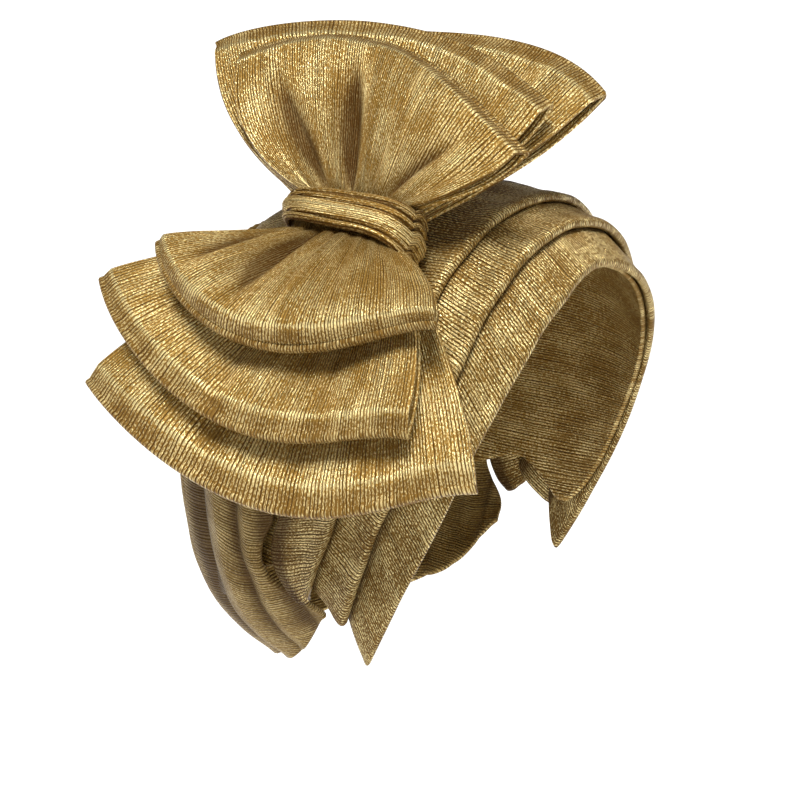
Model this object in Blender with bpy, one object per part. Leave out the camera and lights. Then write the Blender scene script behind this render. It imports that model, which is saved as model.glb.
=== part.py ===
# Pleated head wrap with a three-layer bow on the wearer's right side.
# Frame: origin at the inside top of the crown, -Y to the front of the face, +X to the wearer's left, +Z up.
import bmesh
import bpy
import numpy as np

MM = 0.001

# The head space that the cloth is wrapped on, in millimetres, measured from its widest level.
HEAD_HALF_WIDTH = 75.0
HEAD_HALF_LENGTH = 95.0
HEAD_ABOVE = 92.0
HEAD_BELOW = 150.0
HEAD_SQUARENESS = 2.3
HEAD_CENTRE = np.array([0.0, 0.0, -HEAD_ABOVE])

# Cloth thicknesses, and the least gap between the drape and the crown under it.
CROWN_WALL = 1.9
DRAPE_WALL = 2.0
BOW_WALL = 2.0
DRAPE_GAP = 0.7

# Gold cloth: colour and roughness of each part of the wrap.
CROWN_COLOUR = (0.42, 0.27, 0.09)
CROWN_ROUGHNESS = 0.5
PLEAT_COLOUR = (0.50, 0.32, 0.11)
PLEAT_ROUGHNESS = 0.42
DRAPE_COLOUR = (0.38, 0.28, 0.11)
DRAPE_ROUGHNESS = 0.55
BOW_COLOUR = (0.56, 0.36, 0.12)
BOW_ROUGHNESS = 0.38
THREAD_METALLIC = 0.35
SHARP_ANGLE = 50.0

# Pleats: the edges are hoops over the head, listed from the midline of the forehead down to the ear.
# Columns: half width, half length and height below the top, as shares of the head's half width,
# half length and height above its widest level.
FACE_EDGE = [
    (0.00, -0.79, 0.24),
    (0.20, -0.80, 0.27),
    (0.36, -0.80, 0.34),
    (0.51, -0.79, 0.41),
    (0.63, -0.78, 0.51),
    (0.73, -0.75, 0.62),
    (0.80, -0.71, 0.74),
    (0.87, -0.65, 0.90),
    (0.91, -0.58, 1.09),
    (0.95, -0.51, 1.27),
    (0.97, -0.41, 1.48),
    (0.95, -0.29, 1.72),
    (0.93, -0.22, 1.86),
]
FIRST_CREASE = [
    (0.00, -0.67, 0.10),
    (0.17, -0.68, 0.11),
    (0.34, -0.68, 0.14),
    (0.48, -0.67, 0.19),
    (0.59, -0.67, 0.25),
    (0.69, -0.65, 0.32),
    (0.76, -0.64, 0.39),
    (0.85, -0.62, 0.51),
    (0.96, -0.53, 0.78),
    (1.05, -0.40, 1.09),
    (1.06, -0.35, 1.19),
    (1.06, -0.30, 1.33),
    (1.05, -0.24, 1.48),
    (1.03, -0.17, 1.67),
]
SECOND_CREASE = [
    (0.00, -0.52, 0.01),
    (0.12, -0.52, 0.01),
    (0.28, -0.52, 0.03),
    (0.40, -0.51, 0.06),
    (0.52, -0.51, 0.10),
    (0.62, -0.50, 0.15),
    (0.72, -0.48, 0.22),
    (0.81, -0.47, 0.31),
    (0.97, -0.39, 0.60),
    (1.07, -0.27, 0.89),
    (1.09, -0.18, 1.15),
    (1.09, -0.13, 1.29),
    (1.08, -0.07, 1.41),
    (1.07, -0.01, 1.57),
]
REAR_EDGE = [
    (0.00, -0.23, -0.02),
    (0.40, -0.21, 0.01),
    (0.69, -0.13, 0.16),
    (0.91, -0.04, 0.41),
    (1.01, 0.05, 0.71),
    (1.05, 0.11, 1.03),
    (1.05, 0.13, 1.25),
    (1.05, 0.18, 1.33),
    (1.04, 0.20, 1.41),
    (1.03, 0.19, 1.47),
    (1.02, 0.15, 1.55),
    (1.01, 0.10, 1.62),
    (1.02, 0.03, 1.64),
]
# How far a pleat runs on under the one behind it.
PLEAT_OVERLAP = 5.0
PLEAT_STATIONS = 41
CORNER_SOFTENING = 0.02

# Cross sections of the pleats, in millimetres, as one closed outline from the front edge over the
# outside to the rear edge and back inside. The front edge is a soft roll of folded cloth.
# Columns: face, edge that the distance is taken from, distance into the pleat, height above the head.
FIRST_SECTION = [
    ("outside", "front", 0.0, 3.4),
    ("outside", "front", 0.9, 4.9),
    ("outside", "front", 2.6, 5.5),
    ("outside", "front", 5.5, 4.9),
    ("outside", "rear", 6.0, 4.6),
    ("outside", "rear", 1.0, 4.1),
    ("outside", "rear", 0.0, 3.6),
    ("inside", "rear", 0.5, 2.6),
    ("inside", "rear", 6.0, 2.5),
    ("inside", "front", 6.0, 2.6),
    ("inside", "front", 0.6, 2.6),
]
LAPPED_SECTION = [
    ("outside", "front", 0.0, 6.6),
    ("outside", "front", 0.8, 8.0),
    ("outside", "front", 2.8, 8.5),
    ("outside", "front", 6.0, 7.7),
    ("outside", "front", 10.0, 6.4),
    ("outside", "rear", 6.0, 4.9),
    ("outside", "rear", 1.0, 4.2),
    ("outside", "rear", 0.0, 3.7),
    ("inside", "rear", 0.5, 2.7),
    ("inside", "rear", 6.0, 2.7),
    ("inside", "front", 14.0, 2.8),
    ("inside", "front", 6.5, 5.1),
    ("inside", "front", 0.6, 5.3),
]
# Full width that the sections are drawn for: narrower ends of a pleat squeeze them.
SECTION_WIDTH = 26.0
# The free ends thin down by this much over the last share of each side.
END_THINNING = 1.2
END_SHARE = 0.04

# Lower edge of the crown cloth. Columns: degrees round from the front, degrees down from the top.
CROWN_EDGE = [
    (0, 45.5),
    (10, 47.5),
    (20, 51.0),
    (28, 56.5),
    (34, 62.5),
    (39, 69.5),
    (43, 77.0),
    (47, 85.5),
    (51, 94.0),
    (56, 106.0),
    (61, 116.0),
    (67, 124.0),
    (73, 127.0),
    (80, 122.0),
    (90, 117.0),
    (102, 120.0),
    (114, 123.0),
    (127, 126.0),
    (140, 127.0),
    (153, 127.0),
    (166, 127.0),
    (180, 127.0),
]
CROWN_ROWS = 9
# Degrees past the crown's edge before the drape may come in closer than the crown.
CROWN_COVER = 4.0

# The gathered drape at the back. Front boundary: degrees down from the top, degrees round from the front.
DRAPE_FRONT = [
    (48, 87.0),
    (62, 91.8),
    (75, 95.3),
    (92, 98.8),
    (106, 100.5),
    (113, 104.5),
    (119, 105.0),
    (123, 102.5),
    (127, 98.5),
    (131, 94.5),
    (140, 93.0),
]
# Columns: degrees round from the front, top edge and bottom edge in degrees down from the top.
DRAPE_EDGES = [
    (90, 58, 136),
    (98, 58, 142),
    (107, 55, 146),
    (117, 52, 148),
    (139, 48, 149),
    (180, 45, 149),
]
# Columns: share of the way down, height of the outside above the head.
DRAPE_PROFILE = [
    (0.00, 4.8),
    (0.07, 6.2),
    (0.20, 8.3),
    (0.55, 9.2),
    (0.72, 9.4),
    (0.83, 7.0),
    (0.92, 0.5),
    (1.00, -7.0),
]
# Columns: share of the way down, share of the folds' full depth.
DRAPE_FADE = [(0.00, 0.00), (0.15, 0.25), (0.35, 1.00), (0.90, 0.90), (1.00, 0.50)]
# Hanging swags and the valleys between them, in degrees round from the front.
# Columns: place at the top, place at the bottom, height (minus is a valley), half width.
DRAPE_FOLDS = [
    (97, 99, -3.6, 5.0),
    (108, 110, -2.2, 4.5),
    (117, 121, 1.2, 5.0),
    (127, 131, -4.6, 4.0),
    (139, 138, 1.0, 6.0),
    (151, 147, -3.4, 4.0),
    (160, 156, 0.8, 5.0),
    (173, 170, -2.6, 5.0),
    (196, 196, -2.4, 5.0),
    (220, 218, -2.6, 5.0),
    (242, 236, -2.4, 5.0),
    (262, 258, -2.4, 5.0),
]
DRAPE_ROWS = 11

# The bow: the way to its middle from the head's centre, as shares of the head's half width, half length
# and height above its widest level, its height over the head, the way it faces, and its waist's turn.
BOW_SEAT = np.array([-0.904, -0.163, 0.958])
BOW_HEIGHT = 22.07
BOW_FACING = np.array([-0.75, -0.27, 0.60])
BOW_ACROSS = np.array([0.27, -0.96, -0.09])
BOW_HALF_ACROSS = 80.0
BOW_REACH = 105.0
WAIST_HALF_WIDTH = 19.0
WAIST_HALF_HEIGHT = 7.0
LAYER_STEP = 5.8
BOW_COLUMNS = 11
WAIST_TUCK = 0.8
SIDE_BULGE = 5.0
# How far the bow's sides bend back at its full half width, and how far its foremost sheets puff out.
BOW_BEND = 7.0
FRONT_PUFF = 4.5
# Share of a valley's depth that reaches the hidden sheet of the front loop.
BACKING_DEPTH = 0.3
# Share of each sheet's run out from the waist, on the front and on the back.
FRONT_SHARES = (0.0, 0.15, 0.35, 0.58, 0.80, 0.93, 1.0)
BACK_SHARES = (1.0, 0.8, 0.58, 0.35, 0.15, 0.0)
FOLD_TURNS = (45.0, 90.0, 135.0)

# Half of the distance between a loop's two sheets: share of the way from waist to edge, half distance.
LOOP_OPENING = [(0.0, 1.45), (0.15, 1.55), (0.35, 2.3), (0.6, 3.2), (0.9, 2.4), (1.0, 1.9)]

# Each loop of the bow. Its outer edge runs from its left corner to its right corner as the bow is
# faced, in columns: across and along, as shares of the bow's half width and reach. Its valleys run out
# from the waist, in columns: place at the waist and at the edge, from -1 at the left side to 1 at the
# right, depth, and half width as a share of the half loop. The last value is how far the loop comes
# forward for each millimetre out from the waist.
UPPER_FRONT = (
    [
        (-0.71, 0.51),
        (-0.52, 0.58),
        (-0.24, 0.62),
        (-0.04, 0.61),
        (0.17, 0.56),
        (0.43, 0.46),
        (0.69, 0.31),
    ],
    [
        (-0.45, -0.78, 2.6, 0.22),
        (-0.05, -0.15, 3.0, 0.20),
        (0.60, 0.80, 1.8, 0.20),
    ],
    0.165,
)
UPPER_MIDDLE = (
    [
        (-0.97, 0.64),
        (-0.74, 0.71),
        (-0.43, 0.76),
        (-0.08, 0.77),
        (0.19, 0.73),
        (0.45, 0.67),
        (0.70, 0.56),
    ],
    [
        (-0.50, -0.60, 1.4, 0.20),
        (0.30, 0.40, 1.4, 0.20),
    ],
    0,
)
UPPER_BACK = (
    [
        (-0.89, 0.69),
        (-0.61, 0.79),
        (-0.31, 0.83),
        (0.03, 0.86),
        (0.33, 0.89),
        (0.61, 0.84),
        (0.86, 0.74),
    ],
    [
        (-0.40, -0.50, 1.4, 0.20),
        (0.30, 0.50, 1.6, 0.20),
    ],
    -0.15,
)
LOWER_FRONT = (
    [
        (-0.78, 0.23),
        (-0.64, 0.37),
        (-0.42, 0.49),
        (-0.13, 0.54),
        (0.11, 0.48),
        (0.34, 0.41),
        (0.54, 0.34),
    ],
    [
        (-0.45, -0.15, 3.0, 0.20),
        (-0.85, -0.65, 2.2, 0.20),
        (0.45, 0.55, 1.6, 0.25),
    ],
    0.29,
)
LOWER_MIDDLE = (
    [
        (-1.10, 0.33),
        (-0.88, 0.52),
        (-0.57, 0.68),
        (-0.24, 0.78),
        (0.03, 0.76),
        (0.28, 0.73),
        (0.51, 0.68),
    ],
    [
        (-0.50, -0.35, 1.6, 0.20),
        (0.40, 0.50, 1.4, 0.20),
    ],
    0.08,
)
LOWER_BACK = (
    [
        (-1.11, 0.65),
        (-0.83, 0.79),
        (-0.46, 0.91),
        (-0.07, 0.98),
        (0.24, 0.93),
        (0.52, 0.85),
        (0.79, 0.76),
    ],
    [
        (-0.40, -0.30, 1.6, 0.20),
        (0.40, 0.50, 1.6, 0.20),
    ],
    -0.06,
)

# The knot band: inner half width and half depth of its ring, and its cross section.
# Columns: share of the band's half height, height above the inside.
KNOT_HALF_WIDTH = 22.0
KNOT_HALF_DEPTH = 11.9
KNOT_SQUARENESS = 4.0
KNOT_STATIONS = 28
KNOT_RIDGES = [
    (-1.00, 0.9),
    (-0.86, 2.1),
    (-0.62, 2.8),
    (-0.42, 2.0),
    (-0.20, 3.0),
    (0.02, 2.2),
    (0.22, 3.1),
    (0.44, 2.1),
    (0.66, 2.8),
    (0.88, 1.9),
    (1.00, 0.8),
]


def unit(vectors):
    """Each vector divided by its own length."""
    return vectors / np.linalg.norm(vectors, axis=-1, keepdims=True)


def heading(around, down):
    """Unit vector at an angle round from the front, towards the wearer's right, and down from the top."""
    a = np.radians(around)
    d = np.radians(down)
    out = np.sin(d)
    return np.stack([-out * np.sin(a), -out * np.cos(a), np.cos(d) + 0.0 * a], -1)


def on_head(toward, height):
    """Point at a height above the head's superellipsoid, along a direction from the head's centre."""
    toward = unit(toward)
    height = np.asarray(height, float)[..., None]
    vertical = np.where(toward[..., 2:] > 0, HEAD_ABOVE, HEAD_BELOW)
    width = HEAD_HALF_WIDTH + 0.0 * vertical
    length = HEAD_HALF_LENGTH + 0.0 * vertical
    axes = np.concatenate([width, length, vertical], -1) + height
    total = np.sum(np.abs(toward / axes) ** HEAD_SQUARENESS, -1, keepdims=True)
    return HEAD_CENTRE + toward * total ** (-1.0 / HEAD_SQUARENESS)


def along(points, shares):
    """Points at shares of a polyline's length, each the mean of three places a little apart."""
    run = np.concatenate([[0.0], np.cumsum(np.linalg.norm(np.diff(points, axis=0), axis=1))])
    run = run / run[-1]
    total = np.zeros((len(shares), 3))
    for shift in (-CORNER_SOFTENING, 0.0, CORNER_SOFTENING):
        where = np.clip(np.where(shares < 1.0, shares + shift, 1.0), 0.0, 1.0)
        total += np.stack([np.interp(where, run, points[:, axis]) for axis in range(3)], -1)
    return total / 3.0


def hoop(rows, sides):
    """Vectors from the head's centre to an edge over the head, from -1 at the left ear to 1 at the right."""
    table = np.array(rows)
    points = np.stack([
        -table[:, 0] * HEAD_HALF_WIDTH,
        table[:, 1] * HEAD_HALF_LENGTH,
        HEAD_ABOVE - table[:, 2] * HEAD_ABOVE,
    ], -1)
    placed = along(points, np.abs(sides))
    placed[:, 0] *= np.where(sides < 0, -1.0, 1.0)
    return placed


def add_solid(name, points, faces, colour, roughness):
    """One closed cloth body from points in millimetres, with its own material."""
    mesh = bpy.data.meshes.new(name)
    mesh.from_pydata((np.asarray(points) * MM).tolist(), [], faces)
    mesh.validate()
    solid = bpy.data.objects.new(name, mesh)
    bpy.context.scene.collection.objects.link(solid)
    material = bpy.data.materials.new(name + "_cloth")
    material.use_nodes = True
    shader = material.node_tree.nodes["Principled BSDF"]
    shader.inputs["Base Color"].default_value = (*colour, 1.0)
    shader.inputs["Roughness"].default_value = roughness
    shader.inputs["Metallic"].default_value = THREAD_METALLIC
    mesh.materials.append(material)
    mesh.shade_smooth()
    mesh.set_sharp_from_angle(angle=np.radians(SHARP_ANGLE))
    return solid


def strip_faces(first, second, closed):
    """Quads between two rows of point numbers."""
    count = len(first)
    steps = range(count if closed else count - 1)
    after = [(k + 1) % count for k in range(count)]
    return [(first[k], first[after[k]], second[after[k]], second[k]) for k in steps]


def add_sweep(name, rings, colour, roughness, looped=False):
    """A body from closed rings of points, capped at both ends or joined end to end."""
    rings = np.asarray(rings)
    rows, count = rings.shape[:2]
    numbers = np.arange(rows * count).reshape(rows, count).tolist()
    faces = []
    for row in range(rows if looped else rows - 1):
        faces += strip_faces(numbers[row], numbers[(row + 1) % rows], True)
    if not looped:
        faces.append(tuple(numbers[0][::-1]))
        faces.append(tuple(numbers[-1]))
    return add_solid(name, rings.reshape(-1, 3), faces, colour, roughness)


def add_wall(name, outside, inside, colour, roughness):
    """A cloth wall between two grids of the same size, joined round their rim."""
    rows, columns = outside.shape[:2]
    outer = np.arange(rows * columns).reshape(rows, columns)
    inner = outer + rows * columns
    faces = []
    for row in range(rows - 1):
        faces += strip_faces(outer[row].tolist(), outer[row + 1].tolist(), False)
        faces += strip_faces(inner[row + 1].tolist(), inner[row].tolist(), False)
    rim = np.concatenate([outer[0], outer[1:, -1], outer[-1, -2::-1], outer[-2:0:-1, 0]])
    faces += strip_faces((rim + rows * columns).tolist(), rim.tolist(), True)
    points = np.concatenate([outside.reshape(-1, 3), inside.reshape(-1, 3)])
    return add_solid(name, points, faces, colour, roughness)


def add_pleat(name, front_rows, rear_rows, overlap, section):
    """A doubled band of cloth over the head from ear to ear, rolled along its front edge."""
    sides = np.linspace(-1.0, 1.0, PLEAT_STATIONS)
    front = hoop(front_rows, sides)
    rear = hoop(rear_rows, sides)
    width = np.linalg.norm(rear - front, axis=1)
    full = width + overlap * np.clip(2.0 * width / SECTION_WIDTH, 0.0, 1.0)
    squeeze = np.clip(full / SECTION_WIDTH, 0.25, 1.0)
    near_end = np.clip(1.0 - (1.0 - np.abs(sides)) / END_SHARE, 0.0, 1.0)
    loops = []
    for face, edge, into, height in section:
        distance = into * squeeze if edge == "front" else full - into * squeeze
        thinning = END_THINNING * near_end ** 2 if face == "outside" else 0.0 * near_end
        place = front + (rear - front) * (distance / width)[:, None]
        loops.append(on_head(place, height - thinning))
    return add_sweep(name, np.stack(loops, 1), PLEAT_COLOUR, PLEAT_ROUGHNESS)


def add_crown():
    """The close cap under everything: a dome open at the face and at the nape."""
    near = np.array(CROWN_EDGE, float)
    far = near[-2:0:-1] * (-1.0, 1.0) + (360.0, 0.0)
    edge = np.concatenate([near, far])
    levels = np.linspace(0.0, 1.0, CROWN_ROWS + 1)[1:] ** 0.85
    around = edge[None, :, 0] + 0.0 * levels[:, None]
    down = edge[None, :, 1] * levels[:, None]
    points = []
    for height in (CROWN_WALL, 0.0):
        top = on_head(heading(0.0, 0.0), height)
        grid = on_head(heading(around, down), height + 0.0 * around)
        points.append(np.concatenate([top[None], grid.reshape(-1, 3)]))
    columns = len(edge)
    numbers = 1 + np.arange(CROWN_ROWS * columns).reshape(CROWN_ROWS, columns)
    step = 1 + CROWN_ROWS * columns
    faces = []
    for column in range(columns):
        following = (column + 1) % columns
        faces.append((0, int(numbers[0, column]), int(numbers[0, following])))
        faces.append((step, int(numbers[0, following]) + step, int(numbers[0, column]) + step))
    for row in range(CROWN_ROWS - 1):
        faces += strip_faces(numbers[row + 1].tolist(), numbers[row].tolist(), True)
        faces += strip_faces((numbers[row] + step).tolist(), (numbers[row + 1] + step).tolist(), True)
    faces += strip_faces((numbers[-1] + step).tolist(), numbers[-1].tolist(), True)
    return add_solid("cap_crown", np.concatenate(points), faces, CROWN_COLOUR, CROWN_ROUGHNESS)


def add_drape():
    """One gathered cloth round the back of the head, in swags that draw together at the nape."""
    front = np.array(DRAPE_FRONT, float)
    edges = np.array(DRAPE_EDGES, float)
    profile = np.array(DRAPE_PROFILE)
    near_side = np.arange(90.0, 166.0, 4.0)
    far_side = np.arange(172.0, 271.0, 7.0)
    middle = np.concatenate([near_side, far_side])
    spread = (middle - middle[0]) / (middle[-1] - middle[0])
    shares = np.linspace(0.0, 1.0, DRAPE_ROWS) ** 0.9
    folded = np.where(middle > 180.0, 360.0 - middle, middle)
    top = np.interp(folded, edges[:, 0], edges[:, 1])
    bottom = np.interp(folded, edges[:, 0], edges[:, 2])
    down = top[None, :] + (bottom - top)[None, :] * shares[:, None]
    start = np.interp(down[:, 0], front[:, 0], front[:, 1])[:, None]
    finish = 360.0 - np.interp(down[:, -1], front[:, 0], front[:, 1])[:, None]
    around = start + (finish - start) * spread[None, :]
    height = np.interp(shares, profile[:, 0], profile[:, 1])[:, None] + 0.0 * around
    fading = np.array(DRAPE_FADE)
    fade = np.interp(shares, fading[:, 0], fading[:, 1])[:, None]
    for at_top, at_bottom, amount, half_width in DRAPE_FOLDS:
        place = at_top + (at_bottom - at_top) * shares[:, None]
        height = height + amount * fade * np.exp(-((around - place) / half_width) ** 2)
    crown = np.array(CROWN_EDGE, float)
    from_front = np.where(around > 180.0, 360.0 - around, around)
    past_crown = down - np.interp(from_front, crown[:, 0], crown[:, 1])
    lowest = CROWN_WALL + DRAPE_WALL + DRAPE_GAP
    height = np.where(past_crown < CROWN_COVER, np.maximum(height, lowest), height)
    outside = on_head(heading(around, down), height)
    inside = on_head(heading(around, down), height - DRAPE_WALL)
    return add_wall("back_drape", outside, inside, DRAPE_COLOUR, DRAPE_ROUGHNESS)


def in_place(local):
    """Points given across, along and out of the bow, turned and moved to where the bow sits."""
    facing = unit(BOW_FACING)
    across = unit(BOW_ACROSS - BOW_ACROSS @ facing * facing)
    seat = BOW_SEAT * np.array([HEAD_HALF_WIDTH, HEAD_HALF_LENGTH, HEAD_ABOVE])
    middle = on_head(seat, BOW_HEIGHT)
    return middle + local @ np.stack([across, np.cross(facing, across), facing])


def loop_sheet(edge_rows, valleys, sign, layer, lean, shares, side):
    """Points and outward directions of one sheet of one loop, in bow coordinates.

    The sheet runs straight from the waist to its edge in every column, bulges at its two sides, and
    is lifted off the middle of its layer by half of the loop's opening. side is 1 for the front sheet.
    """
    columns = np.linspace(-1.0, 1.0, BOW_COLUMNS)
    table = np.array(edge_rows)
    places = np.linspace(-1.0, 1.0, len(table))
    curve = np.polyfit(places, table[:, 0], 4), np.polyfit(places, table[:, 1], 4)
    edge = np.stack([
        np.polyval(curve[0], columns) * BOW_HALF_ACROSS,
        sign * np.polyval(curve[1], columns) * BOW_REACH,
    ], -1)
    waist = np.stack([columns * WAIST_HALF_WIDTH, sign * WAIST_HALF_HEIGHT + 0.0 * columns], -1)
    ray = edge - waist
    ray = ray - unit(ray) * (LOOP_OPENING[-1][1] + BOW_WALL / 2)
    shares = np.asarray(shares, float)[:, None]
    flat = waist[None] + ray[None] * shares[..., None]
    flat[..., 0] += SIDE_BULGE * 4.0 * shares * (1.0 - shares) * columns[None, :] ** 3
    opening = np.array(LOOP_OPENING)
    lift = np.interp(shares, opening[:, 0], opening[:, 1])
    tuck = WAIST_TUCK * np.where(np.arange(BOW_COLUMNS) % 2 == 0, -1.0, 1.0)[None, :] * (1.0 - shares) ** 2.5
    rise = layer + lean * shares * np.linalg.norm(ray, axis=-1)[None, :] + side * lift + tuck
    beyond_waist = np.maximum(flat[..., 0] ** 2 - WAIST_HALF_WIDTH ** 2, 0.0)
    rise = rise - BOW_BEND * beyond_waist / BOW_HALF_ACROSS ** 2
    is_front_layer = layer > LAYER_STEP / 2
    if is_front_layer and side > 0:
        rise = rise + FRONT_PUFF * np.sin(np.pi * shares) * (1.0 - columns[None, :] ** 2)
    amount = BACKING_DEPTH if is_front_layer and side < 0 else 1.0
    for at_waist, at_edge, depth, half_width in valleys:
        place = at_waist + (at_edge - at_waist) * shares
        dent = np.exp(-((columns[None, :] - place) / half_width) ** 2)
        rise = rise - amount * depth * np.sin(np.pi * shares) ** 0.8 * dent
    return np.concatenate([flat, rise[..., None]], -1), unit(ray)


def folded_loop(loop, sign, layer):
    """Rows of points out along a loop's front sheet, round its fold and back along the other sheet."""
    edge, valleys, lean = loop
    front, rays = loop_sheet(edge, valleys, sign, layer, lean, FRONT_SHARES, 1)
    back, rays = loop_sheet(edge, valleys, sign, layer, lean, BACK_SHARES, -1)
    middle = (front[-1] + back[0]) / 2.0
    half = (front[-1] - back[0]) / 2.0
    reach = np.linalg.norm(half, axis=-1, keepdims=True) * np.append(rays, 0.0 * rays[:, :1], -1)
    turns = [middle + half * np.cos(turn) + reach * np.sin(turn) for turn in np.radians(FOLD_TURNS)]
    return [*front, *turns, *back], rays


def add_bow_layer(name, layer, upper, lower):
    """A closed ring of padded cloth, drawn in at its waist and folded over at both ends."""
    upper_rows, upper_rays = folded_loop(upper, 1, layer)
    lower_rows, lower_rays = folded_loop(lower, -1, layer)
    at_middle = np.array([1.0, 0.0, 1.0])
    first = upper_rows[0] * at_middle
    last = upper_rows[-1] * at_middle
    points = np.stack([first, *upper_rows, last, *lower_rows[::-1]])
    is_upper = (np.arange(len(points)) < len(upper_rows) + 2)[:, None, None]
    rays = np.where(is_upper, upper_rays[None], lower_rays[None])
    sideways = np.stack([-rays[..., 1], rays[..., 0], 0.0 * rays[..., 0]], -1)
    tangent = np.roll(points, -1, axis=0) - np.roll(points, 1, axis=0)
    outward = unit(np.cross(tangent, sideways) * np.where(is_upper, 1.0, -1.0))
    outside = in_place(points + outward * BOW_WALL / 2)
    inside = in_place(points - outward * BOW_WALL / 2)
    rings = np.concatenate([outside, inside[:, ::-1]], 1)
    return add_sweep(name, rings, BOW_COLOUR, BOW_ROUGHNESS, looped=True)


def add_knot():
    """A ridged band that closes round the waists of the three loops."""
    turn = np.linspace(0.0, 2.0 * np.pi, KNOT_STATIONS, endpoint=False)
    power = 2.0 / KNOT_SQUARENESS
    round_x = np.sign(np.cos(turn)) * np.abs(np.cos(turn)) ** power
    round_y = np.sign(np.sin(turn)) * np.abs(np.sin(turn)) ** power
    section = list(KNOT_RIDGES) + [(1.0, 0.0), (0.0, 0.0), (-1.0, 0.0)]
    rings = []
    for share, height in section:
        across = round_x * (KNOT_HALF_WIDTH + height)
        out = round_y * (KNOT_HALF_DEPTH + height)
        rings.append(in_place(np.stack([across, share * WAIST_HALF_HEIGHT + 0.0 * across, out], -1)))
    return add_sweep("bow_knot", np.stack(rings, 1), BOW_COLOUR, BOW_ROUGHNESS, looped=True)


def face_outward(solid):
    """Turn every face of a closed body to the outside."""
    shape = bmesh.new()
    shape.from_mesh(solid.data)
    bmesh.ops.recalc_face_normals(shape, faces=shape.faces)
    shape.to_mesh(solid.data)
    shape.free()


for leftover in list(bpy.data.objects):
    bpy.data.objects.remove(leftover)

solids = [
    add_crown(),
    add_pleat("front_pleat_1", FACE_EDGE, FIRST_CREASE, PLEAT_OVERLAP, FIRST_SECTION),
    add_pleat("front_pleat_2", FIRST_CREASE, SECOND_CREASE, PLEAT_OVERLAP, LAPPED_SECTION),
    add_pleat("front_pleat_3", SECOND_CREASE, REAR_EDGE, 0.0, LAPPED_SECTION),
    add_drape(),
    add_bow_layer("bow_back", -LAYER_STEP, UPPER_BACK, LOWER_BACK),
    add_bow_layer("bow_middle", 0.0, UPPER_MIDDLE, LOWER_MIDDLE),
    add_bow_layer("bow_front", LAYER_STEP, UPPER_FRONT, LOWER_FRONT),
    add_knot(),
]
for solid in solids:
    face_outward(solid)
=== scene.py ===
import bmesh
import bpy
import numpy as np
from mathutils import Matrix


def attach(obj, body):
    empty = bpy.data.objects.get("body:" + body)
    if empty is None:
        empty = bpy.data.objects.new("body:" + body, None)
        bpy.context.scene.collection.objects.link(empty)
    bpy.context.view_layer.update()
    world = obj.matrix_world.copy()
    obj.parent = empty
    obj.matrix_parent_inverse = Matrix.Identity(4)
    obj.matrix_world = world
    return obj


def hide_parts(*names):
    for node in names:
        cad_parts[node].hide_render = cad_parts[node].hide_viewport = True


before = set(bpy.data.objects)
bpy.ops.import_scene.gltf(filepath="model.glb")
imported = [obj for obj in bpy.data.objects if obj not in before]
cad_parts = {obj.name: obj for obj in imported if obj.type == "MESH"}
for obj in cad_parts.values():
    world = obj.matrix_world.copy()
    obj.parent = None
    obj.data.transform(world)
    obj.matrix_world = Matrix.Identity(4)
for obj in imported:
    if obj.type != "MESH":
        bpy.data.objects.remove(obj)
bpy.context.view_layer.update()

# Crown: the close cap under everything else, open at the face and at the nape. It is ribbed knitted
# cloth with gold thread, stretched over the head, with soft gathers running to the back where it shows.
# The head that fills it is a superellipsoid, which reaches farther below its centre than above it. All
# sizes are in millimetres.
HEAD_HALF_WIDTH = 75.0
HEAD_HALF_LENGTH = 95.0
HEAD_ABOVE = 92.0
HEAD_BELOW = 150.0
HEAD_SQUARENESS = 2.3
HEAD_CENTRE = np.array([0.0, 0.0, -HEAD_ABOVE])
RIB_PITCH = 1.3
CROWN_WALL = 1.9
# Millimetres of cloth for one degree: on the way from side to side, and down at the crown's lower edge.
CROWN_SIDE_SCALE = 1.48
CROWN_EDGE_SCALE = 1.6
# The gathers come in between these distances behind the rearmost pleat, and fade out again between these
# angles down from the top. They stand this high on average, and rise and fall by the depth.
GATHERS_BEHIND_PLEAT = (2.0, 22.0)
GATHERS_END = (42.0, 52.0)
GATHER_HEIGHT = 0.55
GATHER_DEPTH = 0.45
# Lower edge. Columns: degrees round from the front, degrees down from the top.
CROWN_EDGE = [
    (0, 45.5), (10, 47.5), (20, 51.0), (28, 56.5), (34, 62.5), (39, 69.5), (43, 77.0), (47, 85.5),
    (51, 94.0), (56, 106.0), (61, 116.0), (67, 124.0), (73, 127.0), (80, 122.0), (90, 117.0),
    (102, 120.0), (114, 123.0), (127, 126.0), (140, 127.0), (180, 127.0),
]
# Where the rearmost pleat ends. Columns: places across, back and below the top, as shares of the head's
# half axes.
REAR_EDGE = [
    (0.00, -0.23, -0.02),
    (0.40, -0.21, 0.01),
    (0.69, -0.13, 0.16),
    (0.91, -0.04, 0.41),
    (1.01, 0.05, 0.71),
    (1.05, 0.11, 1.03),
    (1.05, 0.13, 1.25),
    (1.05, 0.18, 1.33),
    (1.04, 0.20, 1.41),
    (1.03, 0.19, 1.47),
    (1.02, 0.15, 1.55),
    (1.01, 0.10, 1.62),
    (1.02, 0.03, 1.64),
]


def unit(vectors):
    """Each vector divided by its own length."""
    return vectors / np.linalg.norm(vectors, axis=-1, keepdims=True)


def heading(around, down):
    """Unit vector at an angle round from the front, towards the wearer's right, and down from the top."""
    a = np.radians(around)
    d = np.radians(down)
    out = np.sin(d)
    return np.stack([-out * np.sin(a), -out * np.cos(a), np.cos(d) + 0.0 * a], -1)


def mirrored(around):
    """Degrees round from the front, as on the wearer's right, for both sides alike."""
    return np.where(around > 180.0, 360.0 - around, around)


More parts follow.
